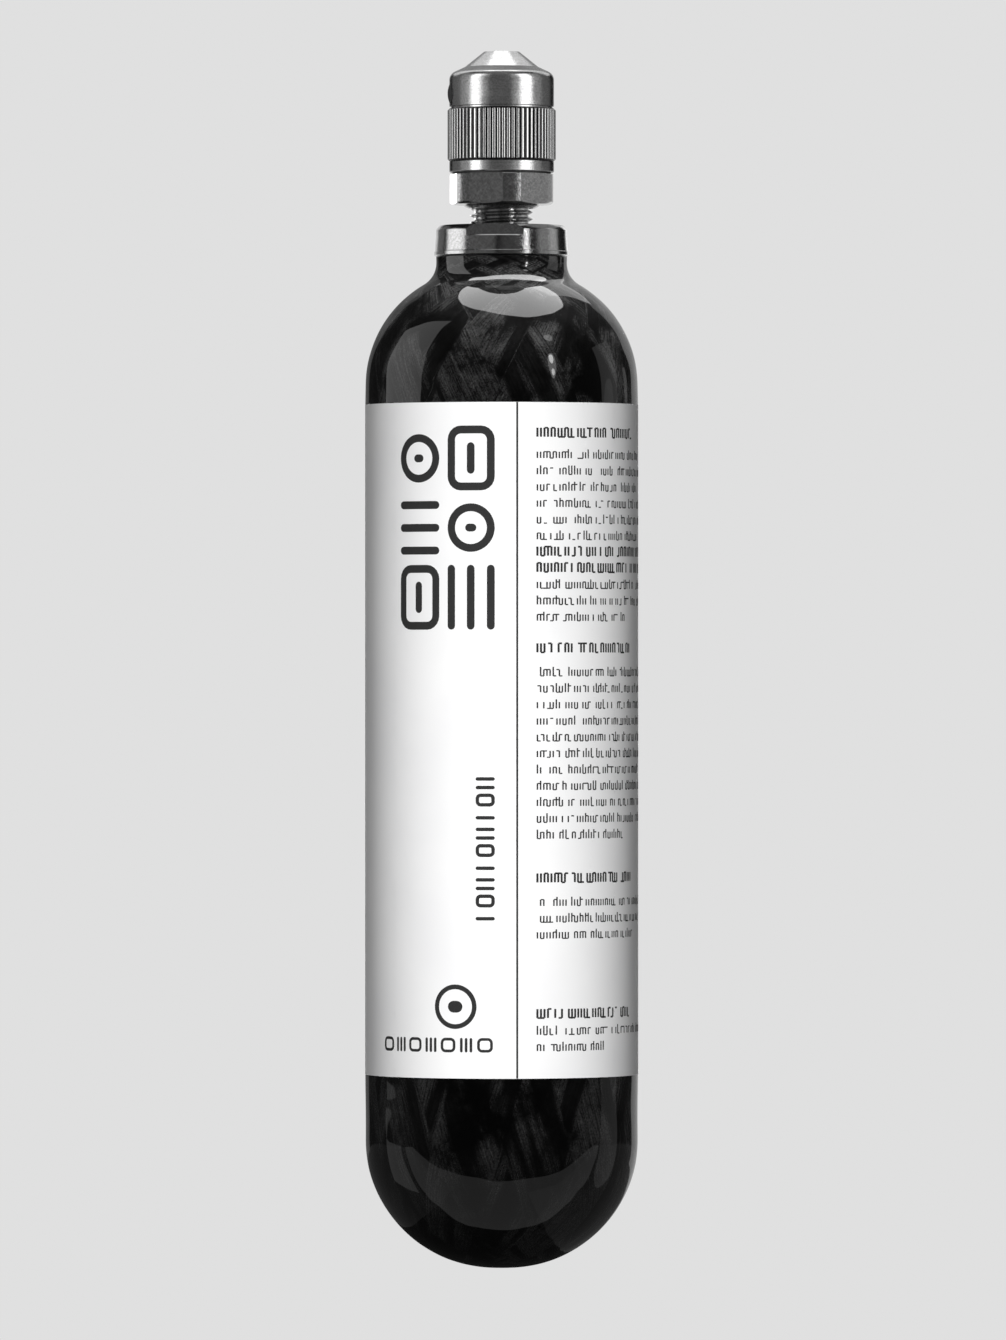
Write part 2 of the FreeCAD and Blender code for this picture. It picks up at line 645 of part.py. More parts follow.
def make_guide():
    """The disc in the outlet that keeps the pin central, with a circle of gas holes."""
    low = f"({size.guide_seat_level} + 0.01)"
    high = f"({low} + {size.guide_thickness})"
    bore = f"{size.pin_radius} + {size.running_gap}"
    rim = f"{size.guide_seat_radius} - 0.01"
    body = turned("pin_guide", [(bore, low), (rim, low), (rim, high), (bore, high)])
    lift = FreeCAD.Placement(Vector(0, 0, value_of(low)), FreeCAD.Rotation())
    holes = new_sketch(body, "gas_holes", "XY_Plane", lift)
    holes.setExpression("AttachmentOffset.Base.z", low)
    for i in range(6):
        x = f"{size.guide_hole_circle} * cos({60 * i})"
        y = f"{size.guide_hole_circle} * sin({60 * i})"
        draw_circle(holes, x, y, size.guide_hole)
    cut_along(body, holes, "hole_circle", size.guide_thickness, upwards=True)


def make_seals():
    """Soft rings and the sintered filter."""
    seal_middle = f"({size.groove_radius} + {size.seal_bore}) / 2"
    seal_level = f"{size.groove_low} + {size.neck_seal_wire} + 0.05"
    o_ring("neck_o_ring", seal_middle, size.neck_seal_wire, seal_level)
    backup_low = f"{size.groove_high} - 0.1 - {size.backup_thickness}"
    inner, outer = f"{size.groove_radius} + 0.02", f"{size.seal_bore} - 0.02"
    ring("neck_backup_ring", inner, outer, backup_low, f"{size.groove_high} - 0.1")
    outlet_level = f"({size.nose_groove_low} + {size.nose_groove_high}) / 2"
    outlet_radius = f"{size.nose_groove_radius} + {size.outlet_seal_wire} + 0.01"
    o_ring("outlet_o_ring", outlet_radius, size.outlet_seal_wire, outlet_level)
    gasket_low = f"({size.hex_high} + 0.04)"
    gasket_high = f"({gasket_low} + {size.gasket_thickness})"
    ring("cap_gasket", size.gasket_inner, size.gasket_outer, gasket_low, gasket_high)
    disc("inlet_filter", f"{size.stem_bore} - 0.1", f"{RETAINER_HIGH} + 0.01", FILTER_HIGH)


# ---------------------------------------------------------------- cap


def cap_outline():
    """Half section of the cap: plain bands, knurled band, sloping shoulder and conical nose."""
    band, knurl, chamfer = size.cap_radius, size.knurl_radius, size.knurl_chamfer
    slope, arc = f"({size.shoulder_slope} * 1 deg)", size.cap_shoulder_arc
    shoulder_x = f"({band} - {arc} * (1 - sin({slope})))"
    shoulder_z = f"({size.cap_shoulder_low} + {arc} * cos({slope}))"
    foot_z = f"({shoulder_z} + ({shoulder_x} - {size.cone_foot}) * tan({slope}))"
    groove_high = f"{size.knurl_high} + {size.cap_groove_width}"
    return [
        (f"{size.cap_thread_bore} + 0.5", size.cap_low),
        (f"{band} - {size.cap_edge}", size.cap_low),
        (band, f"{size.cap_low} + {size.cap_edge}"),
        (band, f"{size.knurl_low} - 0.2"),
        (f"{band} - 0.2", size.knurl_low),
        (f"{knurl} - {chamfer}", size.knurl_low),
        (knurl, f"{size.knurl_low} + {chamfer}"),
        (knurl, f"{size.knurl_high} - {chamfer}"),
        (f"{knurl} - {chamfer}", size.knurl_high),
        (f"{band} - {size.cap_groove_depth}", size.knurl_high),
        (f"{band} - {size.cap_groove_depth}", groove_high),
        (band, f"{groove_high} + 0.15"),
        (band, size.cap_shoulder_low, "arc", (f"{band} - {arc}", size.cap_shoulder_low), "left"),
        (shoulder_x, shoulder_z),
        (size.cone_foot, foot_z),
        (size.cap_nose_radius, f"{size.cap_high} - 0.12"),
        (f"{size.cap_nose_radius} - 0.15", size.cap_high),
        (size.centre_mark_radius, size.cap_high),
        ("0", f"{size.cap_high} - {size.centre_mark_radius}"),
        ("0", size.cap_bore_high),
        (f"{size.cap_bore} - 0.8", size.cap_bore_high),
        (size.cap_bore, f"{size.cap_bore_high} - 0.8"),
        (size.cap_bore, size.cap_thread_high),
        (size.cap_thread_bore, size.cap_thread_high),
        (size.cap_thread_bore, f"{size.cap_low} + 0.5"),
    ]


def make_cap():
    """The screw cap, with round ridges for the hand and one vent through its side."""
    body = turned("protective_cap", cap_outline())
    lift = FreeCAD.Placement(Vector(0, 0, value_of(size.knurl_low)), FreeCAD.Rotation())
    tooth = new_sketch(body, "knurl_groove", "XY_Plane", lift)
    tooth.setExpression("AttachmentOffset.Base.z", f"{size.knurl_low}")
    depth = size.knurl_depth
    root, crest = f"({size.knurl_radius} - {depth})", size.knurl_radius
    half = f"({crest} * sin(180 deg / {size.knurl_count}) - {KNURL_LAND})"
    bend = f"((({half} - {KNURL_LAND})^2 + {depth}^2) / (2 * {depth}))"
    centre, rim = f"({crest} - {bend})", f"({crest} + 0.2)"
    outline = [
        (root, f"-{KNURL_LAND}", "arc", (centre, f"-{half}"), "right"),
        (crest, f"-{half}"),
        (rim, f"-{half}"),
        (rim, half),
        (crest, half, "arc", (centre, half), "right"),
        (root, KNURL_LAND),
    ]
    draw_outline(tooth, outline)
    groove = cut_along(body, tooth, "groove", f"{size.knurl_high} - {size.knurl_low}", upwards=True)
    pattern = body.newObject("PartDesign::PolarPattern", "knurl")
    pattern.Originals = [groove]
    pattern.Axis = (tooth, ["N_Axis"])
    pattern.Angle = 360
    pattern.setExpression("Occurrences", size.knurl_count)
    body.Tip = pattern
    doc.recompute()

    for name, radius, start in (
        ("vent", size.vent_hole, "0"),
        ("vent_seat", size.vent_seat, size.vent_seat_depth),
    ):
        out = FreeCAD.Placement(Vector(0, 0, -value_of(start)), FreeCAD.Rotation())
        sketch = new_sketch(body, f"{name}_outline", "YZ_Plane", out)
        sketch.setExpression("AttachmentOffset.Base.z", f"-({start})")
        draw_circle(sketch, "0", size.vent_level, radius)
        cut_along(body, sketch, name, size.body_radius, upwards=False)
    turn_about_axis(body, size.vent_turn)


def make_plug():
    """The rubber plug in the vent: a domed head outside and a shank through the wall."""
    pieces = []
    for name, radius, start, end in (
        ("head", size.plug_head, f"({size.vent_seat_depth} + 0.02)", size.plug_out),
        ("shank", f"{size.vent_hole} - 0.02", size.plug_in, f"({size.vent_seat_depth} + 0.3)"),
    ):
        cylinder = doc.addObject("Part::Cylinder", f"plug_{name}")
        cylinder.setExpression("Radius", str(radius))
        cylinder.setExpression("Height", f"{end} - {start}")
        cylinder.Placement.Rotation = FreeCAD.Rotation(Vector(0, 1, 0), -90)
        cylinder.setExpression("Placement.Base.x", f"-{start}")
        cylinder.setExpression("Placement.Base.z", size.vent_level)
        pieces.append(cylinder)
    joined = doc.addObject("Part::MultiFuse", "plug_joined")
    joined.Shapes = pieces
    dome = doc.addObject("Part::Sphere", "plug_dome")
    dome.setExpression("Radius", size.plug_dome)
    dome.setExpression("Placement.Base.x", f"{size.plug_dome} - {size.plug_out}")
    dome.setExpression("Placement.Base.z", size.vent_level)
    made = doc.addObject("Part::Common", "vent_plug")
    made.Base, made.Tool = joined, dome
    made.Label = "vent_plug"
    doc.recompute()
    turn_about_axis(made, size.vent_turn)


PARTS = [
    "liner",
    "carbon_overwrap",
    "glass_ply",
    "label_sleeve",
    "neck_ring",
    "neck_o_ring",
    "neck_backup_ring",
    "valve_body",
    "stem_washer",
    "valve_seat",
    "valve_pin",
    "pin_seal",
    "pin_spring",
    "spring_retainer",
    "inlet_filter",
    "pin_guide",
    "outlet_o_ring",
    "cap_gasket",
    "protective_cap",
    "vent_plug",
]


def check_and_export():
    """Stops if anything failed to build, then writes one STEP file for each part."""
    doc.recompute()
    failed = [o.Label for o in doc.Objects if {"Invalid", "Error"} & set(o.State)]
    if failed:
        raise RuntimeError(f"these objects failed: {failed}")
    os.makedirs("parts", exist_ok=True)
    for label in PARTS:
        shape = doc.getObjectsByLabel(label)[0].Shape
        if shape.isNull() or not shape.isValid() or not shape.Solids:
            raise RuntimeError(f"{label} is not a valid solid")
        solid = shape.Solids[0] if len(shape.Solids) == 1 else shape
        solid.exportStep(f"parts/{label}.step")
        print(f"{label}: {shape.Volume:.1f} mm3, {len(shape.Solids)} solid, {len(shape.Faces)} faces")


make_liner()
make_shell()
make_label()
make_neck_ring()
make_valve_body()
make_washer()
make_seat()
make_valve_pin()
make_spring()
make_retainer()
make_guide()
make_seals()
make_cap()
make_plug()
check_and_export()
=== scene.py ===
"""Looks of the airbag gas cartridge: wound carbon shell, printed label, turned metal, studio light.

Everything is in the CAD frame, in metres, +Z up and -Y towards the camera. MM turns millimetres into
metres, and the shell and label are described in millimetres.
"""

import math
import random

import bpy
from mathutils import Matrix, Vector, noise


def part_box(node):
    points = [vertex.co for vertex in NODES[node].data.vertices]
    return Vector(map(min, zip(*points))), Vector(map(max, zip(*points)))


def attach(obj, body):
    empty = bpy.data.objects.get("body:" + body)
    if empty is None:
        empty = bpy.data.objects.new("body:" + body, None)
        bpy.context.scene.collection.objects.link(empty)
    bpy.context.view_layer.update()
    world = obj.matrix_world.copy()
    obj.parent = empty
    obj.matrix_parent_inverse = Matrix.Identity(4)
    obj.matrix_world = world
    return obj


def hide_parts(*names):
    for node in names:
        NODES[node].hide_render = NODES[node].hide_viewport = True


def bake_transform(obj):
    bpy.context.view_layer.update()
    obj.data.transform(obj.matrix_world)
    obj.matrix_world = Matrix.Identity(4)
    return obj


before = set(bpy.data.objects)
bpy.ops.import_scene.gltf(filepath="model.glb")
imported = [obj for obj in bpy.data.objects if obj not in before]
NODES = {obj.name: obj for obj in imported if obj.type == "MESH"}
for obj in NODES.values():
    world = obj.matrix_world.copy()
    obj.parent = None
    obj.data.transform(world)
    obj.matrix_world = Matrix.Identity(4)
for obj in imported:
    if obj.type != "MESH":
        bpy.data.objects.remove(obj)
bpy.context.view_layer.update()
MM = 0.001
FULL_TURN = 2 * math.pi

# Shell outline, as in the CAD model (millimetres)
WALL = 30.5
KNUCKLE = 28.8
CROWN = 60.0
SHOULDER_LEVEL = 197.25
SHOULDER = 26.15
NECK = 14.65
HOLLOW = 5.7
NECK_TOP = 226.2
PLY = 0.4

# Label (millimetres)
LABEL_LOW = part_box("label_sleeve")[0].z / MM
LABEL_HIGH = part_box("label_sleeve")[1].z / MM
FILM_INSIDE = 30.507
FILM_OUTSIDE = 30.548
INK_INSIDE = 30.54
INK_OUTSIDE = 30.562


# ---------------------------------------------------------------- meshes


def add_piece(name, vertices, faces, body, material, smooth=True):
    """A new mesh piece that rides on a CAD body."""
    mesh = bpy.data.meshes.new(name)
    mesh.from_pydata(vertices, [], faces)
    mesh.validate()
    if smooth:
        mesh.polygons.foreach_set("use_smooth", [True] * len(mesh.polygons))
    mesh.materials.append(material)
    made = bpy.data.objects.new(name, mesh)
    bpy.context.scene.collection.objects.link(made)
    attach(made, body)
    return made


def arc(centre, radius, start, end, step):
    """Points on an arc in the (radius, height) plane, angles in degrees, the last one left out."""
    count = max(2, math.ceil(abs(math.radians(end - start)) * radius / step))
    turns = [math.radians(start + (end - start) * i / count) for i in range(count)]
    return [(centre[0] + radius * math.cos(t), centre[1] + radius * math.sin(t)) for t in turns]


def line(start, end, step):
    """Points on a straight run, the last one left out."""
    count = max(1, math.ceil(math.dist(start, end) / step))
    shares = [i / count for i in range(count)]
    return [tuple(a + (b - a) * share for a, b in zip(start, end)) for share in shares]


def shell_outline(inset, step, wall_step):
    """The shell's outline from the base's tip to the neck, a set depth below the outside."""
    knuckle_x = WALL - KNUCKLE
    reach = CROWN - KNUCKLE
    knuckle_z = CROWN - math.sqrt(reach**2 - knuckle_x**2)
    crown_turn = math.degrees(math.asin(knuckle_x / reach))
    dome_x = WALL - SHOULDER
    hollow_x = NECK + HOLLOW
    rise = math.sqrt((SHOULDER + HOLLOW) ** 2 - (hollow_x - dome_x) ** 2)
    hollow_z = SHOULDER_LEVEL + rise
    dome_turn = math.degrees(math.atan2(rise, hollow_x - dome_x))

    wall = WALL - inset
    points = arc((0, CROWN), CROWN - inset, -90, -90 + crown_turn, step)
    points += arc((knuckle_x, knuckle_z), KNUCKLE - inset, -90 + crown_turn, 0, step)
    points += line((wall, knuckle_z), (wall, LABEL_LOW), step)
    points += line((wall, LABEL_LOW), (wall, LABEL_HIGH), wall_step)
    points += line((wall, LABEL_HIGH), (wall, SHOULDER_LEVEL), step)
    points += arc((dome_x, SHOULDER_LEVEL), SHOULDER - inset, 0, dome_turn, step)
    points += arc((hollow_x, hollow_z), HOLLOW + inset, 180 + dome_turn, 180, step)
    top = (NECK - inset, NECK_TOP)
    points += line((NECK - inset, hollow_z), top, step / 2)
    return points + [top]


# ---------------------------------------------------------------- winding

BANDS = 6
NECK_TURN_RADIUS = 13.6
BASE_TURN_RADIUS = 9.0
TURN_CHANGE = SHOULDER_LEVEL - 60
TIP_RADIUS = 2.0
STEEPEST = 3.2

# Relief (millimetres)
BAND_STEP = 0.035
BAND_EDGE = 5
RESIN_DEPTH = 0.16
RESIN_MIDDLE = 0.75
LABEL_MARGIN = 1.0
LABEL_FADE = 4.0
NECK_FADE = 2.0


def winding(outline):
    """For each point of an outline, how far round a fibre has gone by there and how far along it is.

    A fibre keeps radius times the sine of its angle to the meridian constant, so it lies flatter as
    the shell narrows, and turns round near the neck and near the base's tip.
    """
    lead, run = 0.0, 0.0
    found = [(lead, run)]
    for (r0, z0), (r1, z1) in zip(outline, outline[1:]):
        length = math.dist((r0, z0), (r1, z1))
        radius = max((r0 + r1) / 2, TIP_RADIUS)
        turn_radius = NECK_TURN_RADIUS if (z0 + z1) / 2 > TURN_CHANGE else BASE_TURN_RADIUS
        flat = math.sqrt(max(radius**2 - turn_radius**2, 1e-6))
        lead += min(turn_radius / flat, STEEPEST) / radius * length
        run += length
        found.append((lead, run))
    return found


def relief(turn, lead, height):
    """Depth of the wound surface below its outline, in millimetres: overlapping bands and resin."""
    if LABEL_LOW - LABEL_MARGIN < height < LABEL_HIGH + LABEL_MARGIN:
        return 0.0
    crossing = math.sin(BANDS * (turn + lead)) * math.sin(BANDS * (turn - lead))
    step = 0.5 + 0.5 * math.tanh(BAND_EDGE * crossing)
    place = Vector((math.cos(turn), math.sin(turn), height / WALL))
    wave = noise.noise(place * 2.4) + 0.6 * noise.noise(place * 5.5 + Vector((7, 3, 1)))
    from_label = min(abs(height - LABEL_HIGH - LABEL_MARGIN), abs(LABEL_LOW - LABEL_MARGIN - height))
    fade = min(1.0, from_label / LABEL_FADE) * min(1.0, (NECK_TOP - height) / NECK_FADE)
    return fade * (BAND_STEP * step + RESIN_DEPTH * (RESIN_MIDDLE + wave) / 2)


def make_shell(material):
    """The outer ply, over the CAD solid's own outline, with the relief that winding leaves."""
    around = 360
    outside = shell_outline(0, step=0.75, wall_step=12)
    inside = shell_outline(PLY, step=3.0, wall_step=30)[::-1]
    ways = winding(outside)
    vertices, faces, leads, runs = [(0, 0, 0)], [], [0.0], [0.0]

    def add_ring(radius, height, lead, run, rough):
        for i in range(around):
            turn = FULL_TURN * i / around
            here = radius - (relief(turn, lead, height) if rough else 0)
            vertices.append((here * math.cos(turn) * MM, here * math.sin(turn) * MM, height * MM))
            leads.append(lead)
            runs.append(run)

    for (radius, height), (lead, run) in zip(outside[1:], ways[1:]):
        add_ring(radius, height, lead, run, rough=True)
    for radius, height in inside[:-1]:
        add_ring(radius, height, *ways[-1], rough=False)
    vertices.append((0, 0, PLY * MM))
    leads.append(0.0)
    runs.append(0.0)

    rings = (len(vertices) - 2) // around
    last = len(vertices) - 1
    for i in range(around):
        after = (i + 1) % around
        faces.append((0, 1 + after, 1 + i))
        for ring in range(rings - 1):
            low, high = 1 + ring * around, 1 + (ring + 1) * around
            faces.append((low + i, low + after, high + after, high + i))
        top = 1 + (rings - 1) * around
        faces.append((last, top + i, top + after))
    made = add_piece("wound_shell", vertices, faces, "cylinder", material)
    for name, values in (("lead", leads), ("run", runs)):
        attribute = made.data.attributes.new(name, "FLOAT", "POINT")
        attribute.data.foreach_set("value", values)
    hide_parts("glass_ply")


# ---------------------------------------------------------------- label

# Print (millimetres), in steps short enough to follow the label's curve
PEN_STEP = 0.8
UPRIGHT_STEP = 4.0
BAR_COLUMN = 1.5
STROKE_COLUMNS = 3


def on_label(across, height, radius):
    """A place on the label: across is millimetres round it from the front, to the right."""
    turn = across / FILM_OUTSIDE
    return (radius * math.sin(turn) * MM, -radius * math.cos(turn) * MM, height * MM)


class Print:
    """Ink on the label, gathered into one mesh of thin closed slabs."""

    def __init__(self):
        self.vertices = []
        self.faces = []

    def slab(self, sections, closed=False):
        """A slab over rows of points across its width, one row after another along its length."""
        width, count = len(sections[0]), len(sections)
        base = len(self.vertices)
        for radius in (INK_OUTSIDE, INK_INSIDE):
            for section in sections:
                self.vertices += [on_label(across, height, radius) for across, height in section]
        under = width * count

        def at(row, column):
            return base + (row % count) * width + column

        for row in range(count if closed else count - 1):
            for column in range(width - 1):
                top = (at(row, column), at(row, column + 1), at(row + 1, column + 1), at(row + 1, column))
                self.faces.append(top)
                self.faces.append(tuple(v + under for v in reversed(top)))
            last = width - 1
            for a, b in ((at(row + 1, 0), at(row, 0)), (at(row, last), at(row + 1, last))):
                self.faces.append((b + under, a + under, a, b))
        if closed:
            return
        for row, order in ((0, 1), (count - 1, -1)):
            for column in range(width - 1):
                a, b = (at(row, column), at(row, column + 1))[::order]
                self.faces.append((b, a, a + under, b + under))

    def stroke(self, points, width, closed=False):
        """A pen stroke of set width along a polyline, with round ends unless it is closed."""
        half = width / 2
        count = len(points)
        sections = []
        for i, point in enumerate(points):
            before = points[i - 1] if closed or i > 0 else point
            after = points[(i + 1) % count] if closed or i < count - 1 else point
            along = Vector((after[0] - before[0], after[1] - before[1])).normalized()
            sections.append((Vector(point), along, half))
        if not closed:
            (start, ahead, _), (end, onward, _) = sections[0], sections[-1]
            turns = [math.radians(turn) for turn in (88, 70, 50, 25)]
            first = [(start - ahead * half * math.sin(t), ahead, half * math.cos(t)) for t in turns]
            last = [(end + onward * half * math.sin(t), onward, half * math.cos(t)) for t in turns]
            sections = first + sections + last[::-1]
        shares = [2 * column / STROKE_COLUMNS - 1 for column in range(STROKE_COLUMNS + 1)]
        rows = []
        for centre, along, reach in sections:
            side = Vector((along.y, -along.x))
            rows.append([tuple(centre - side * reach * share) for share in shares])
        self.slab(rows, closed)

    def bar(self, across, height, wide, tall):
        """A plain rectangle, by its centre."""
        columns = max(1, math.ceil(wide / BAR_COLUMN))
        xs = [across - wide / 2 + wide * i / columns for i in range(columns + 1)]
        self.slab([[(x, height + tall / 2) for x in xs], [(x, height - tall / 2) for x in xs]])


def ring_path(across, height, radius):
    count = 48
    turns = [FULL_TURN * i / count for i in range(count)]
    return [(across + radius * math.cos(t), height + radius * math.sin(t)) for t in turns]


def box_path(across, height, wide, tall, corner):
    """A rounded rectangle, by its centre."""
    steps = 5
    points = []
    for i, (sx, sz) in enumerate(((1, 1), (-1, 1), (-1, -1), (1, -1))):
        middle = (across + sx * (wide / 2 - corner), height + sz * (tall / 2 - corner))
        for k in range(steps + 1):
            turn = math.radians(90 * (i + k / steps))
            points.append((middle[0] + corner * math.cos(turn), middle[1] + corner * math.sin(turn)))
    return [place for a, b in zip(points, points[1:] + points[:1]) for place in line(a, b, PEN_STEP)]


def line_path(start, end, step=PEN_STEP):
    """A straight stroke's points. An upright one needs no short steps."""
    return line(start, end, step) + [end]


# Label layout, in millimetres: across from the front, and height
EMBLEM_COLUMNS = (-19.7, -6.9)
EMBLEM_ROWS = (180.6, 165.2, 149.8)
EMBLEM_WIDE = 9.0
EMBLEM_TALL = 12.6
EMBLEM_PEN = 1.75
EMBLEM_CORNER = 2.2
EMBLEM_STUB = 2.6
LEVEL_BARS_SHARE = 0.8
DOT = 0.4
MARK_ACROSS = -10.5
MARK_HEIGHT = 59.2
FRAMES_LEFT = -29.2
FRAMES_HEIGHT = 50.7
DIVIDER = 3.45
DIVIDER_WIDE = 0.44
DIVIDER_INSET = 0.05
TEXT_LEFT = 8.0
TEXT_WIDE = 44.0
COLUMN_GAP = 4.5
LINE_PITCH = 3.6
WORD_GAP = 0.9
LAP_WIDE = 6.0

# How often stand-in text has a tall tick, a tick at all, and a bar to the next tick
TALL_SHARE = 0.22
TICK_SHARE = 0.86
BRIDGE_SHARE = 0.45


def draw_emblem(ink):
    """Six plain shapes in two columns, where the label carries its large mark."""
    left, right = EMBLEM_COLUMNS
    top, middle, bottom = EMBLEM_ROWS
    for across, height in ((left, top), (right, middle)):
        ink.stroke(ring_path(across, height, EMBLEM_WIDE / 2), EMBLEM_PEN, closed=True)
        ink.stroke(line_path((across - DOT, height), (across + DOT, height)), EMBLEM_PEN)
    for across, height in ((right, top), (left, bottom)):
        path = box_path(across, height, EMBLEM_WIDE, EMBLEM_TALL, EMBLEM_CORNER)
        ink.stroke(path, EMBLEM_PEN, closed=True)
    for offset in (-EMBLEM_TALL / 2, 0, EMBLEM_TALL / 2):
        start = (left - EMBLEM_WIDE / 2, middle + offset * LEVEL_BARS_SHARE)
        ink.stroke(line_path(start, (start[0] + EMBLEM_WIDE, start[1])), EMBLEM_PEN)
    for offset in (-EMBLEM_WIDE / 2, 0, EMBLEM_WIDE / 2):
        start = (right + offset, bottom - EMBLEM_TALL / 2)
        ink.stroke(line_path(start, (start[0], start[1] + EMBLEM_TALL), UPRIGHT_STEP), EMBLEM_PEN)
    for across, height in ((right, top), (left, bottom)):
        ink.stroke(line_path((across, height - EMBLEM_STUB), (across, height + EMBLEM_STUB)), EMBLEM_PEN)


def draw_side_word(ink):
    """A row of plain blocks that runs up the label beside the divider: bars, frames and pairs of bars."""
    across, low = -3.65, 78.9
    pitch, wide, tall, corner, pen = 3.72, 3.5, 2.1, 0.7, 0.78
    bars = {"bar": (-0.2,), "frame": (), "pair": (-0.95, 0.95)}
    for i, kind in enumerate(list(bars) * 3):
        height = low + pitch * i
        if kind == "frame":
            ink.stroke(box_path(across, height, wide, tall, corner), pen, closed=True)
        for offset in bars[kind]:
            start = (across - wide / 2, height + offset)
            ink.stroke(line_path(start, (start[0] + wide, start[1])), pen)


def draw_round_mark(ink):
    """A ring round a dot, over a row of small frames and bars."""
    radius, ring_pen, dot_pen = 4.4, 1.05, 2.6
    ink.stroke(ring_path(MARK_ACROSS, MARK_HEIGHT, radius), ring_pen, closed=True)
    dot = line_path((MARK_ACROSS - DOT, MARK_HEIGHT), (MARK_ACROSS + DOT, MARK_HEIGHT))
    ink.stroke(dot, dot_pen)
    pitch, wide, tall, corner, pen = 4.25, 2.9, 2.6, 0.8, 0.62
    for i in range(7):
        across = FRAMES_LEFT + pitch * i
        if i % 2 == 0:
            ink.stroke(box_path(across, FRAMES_HEIGHT, wide, tall, corner), pen, closed=True)
            continue
        for offset in (-1.1, 0, 1.1):
            start = (across + offset, FRAMES_HEIGHT - tall / 2)
            ink.stroke(line_path(start, (start[0], start[1] + tall), UPRIGHT_STEP), pen)


def draw_words(ink, chance, left, height, wide, bold, last=False):
    """One line of stand-in text: words made of short upright ticks, with no letters."""
    pen, bridge, pitch = (0.5, 0.4, 0.82) if bold else (0.36, 0.28, 0.74)
    small, tall = (2.0, 2.0) if bold else (1.4, 2.0)
    reach = left + wide * (chance.uniform(0.3, 0.7) if last else chance.uniform(0.86, 1.0))
    shortest = 3
    across = left
    while across < reach - shortest:
        for _ in range(chance.randint(3, 13)):
            if across > reach:
                break
            high = tall if chance.random() < TALL_SHARE else small
            if chance.random() < TICK_SHARE:
                ink.bar(across, height + high / 2, pen, high)
            if chance.random() < BRIDGE_SHARE:
                top = height + (small if chance.random() < 0.5 else 0.0)
                ink.bar(across + pitch / 2, top, pitch, bridge)
            across += pitch
        across += WORD_GAP


def draw_text(ink):
    """Two columns of stand-in text round the rest of the label: headings, each with its lines below.

    The front column's first block has two heavy lines as well as its heading.
    """
    chance = random.Random(11)
    heading_share = 0.72
    blocks = (
        (185.3, 180.6, 11, (6, 7)),
        (137.6, 132.4, 11, ()),
        (86.7, 81.5, 3, ()),
        (56.7, 53.0, 2, ()),
    )
    for left in (TEXT_LEFT, TEXT_LEFT + TEXT_WIDE + COLUMN_GAP):
        for heading, top, lines, heavy_lines in blocks:
            draw_words(ink, chance, left, heading, TEXT_WIDE * heading_share, bold=True)
            for i in range(lines):
                bold = i in heavy_lines and left == TEXT_LEFT
                draw_words(ink, chance, left, top - LINE_PITCH * i, TEXT_WIDE, bold, last=i == lines - 1)


def make_label(film, ink):
    """The printed film: one sleeve with a lapped joint at the back, and its ink."""
    around = 288
    edge = 0.02
    outline = (
        (FILM_INSIDE, LABEL_LOW),
        (FILM_OUTSIDE - edge, LABEL_LOW),
        (FILM_OUTSIDE, LABEL_LOW + edge),
        (FILM_OUTSIDE, LABEL_HIGH - edge),
        (FILM_OUTSIDE - edge, LABEL_HIGH),
        (FILM_INSIDE, LABEL_HIGH),
    )
    vertices, faces = [], []
    for i in range(around):
        turn = FULL_TURN * i / around
        for radius, height in outline:
            vertices.append((radius * math.cos(turn) * MM, radius * math.sin(turn) * MM, height * MM))
    count = len(outline)
    for i in range(around):
        after = (i + 1) % around
        for k in range(count):
            above = (k + 1) % count
            faces.append((i * count + k, after * count + k, after * count + above, i * count + above))
    sleeve = add_piece("label_film", vertices, faces, "cylinder", film, smooth=False)
    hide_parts("label_sleeve")

    middle, tall = (LABEL_LOW + LABEL_HIGH) / 2, LABEL_HIGH - LABEL_LOW
    back = math.pi * FILM_OUTSIDE
    lap = Print()
    lap.bar(0.98 * back, middle, LAP_WIDE, tall)
    add_piece("label_lap", lap.vertices, lap.faces, "cylinder", film, smooth=False)

    marks = Print()
    draw_emblem(marks)
    draw_side_word(marks)
    draw_round_mark(marks)
    add_piece("label_marks", marks.vertices, marks.faces, "cylinder", ink, smooth=False)
    words = Print()
    words.bar(DIVIDER, middle, DIVIDER_WIDE, tall - 2 * DIVIDER_INSET)
    draw_text(words)
    add_piece("label_text", words.vertices, words.faces, "cylinder", ink, smooth=False)


# ---------------------------------------------------------------- materials


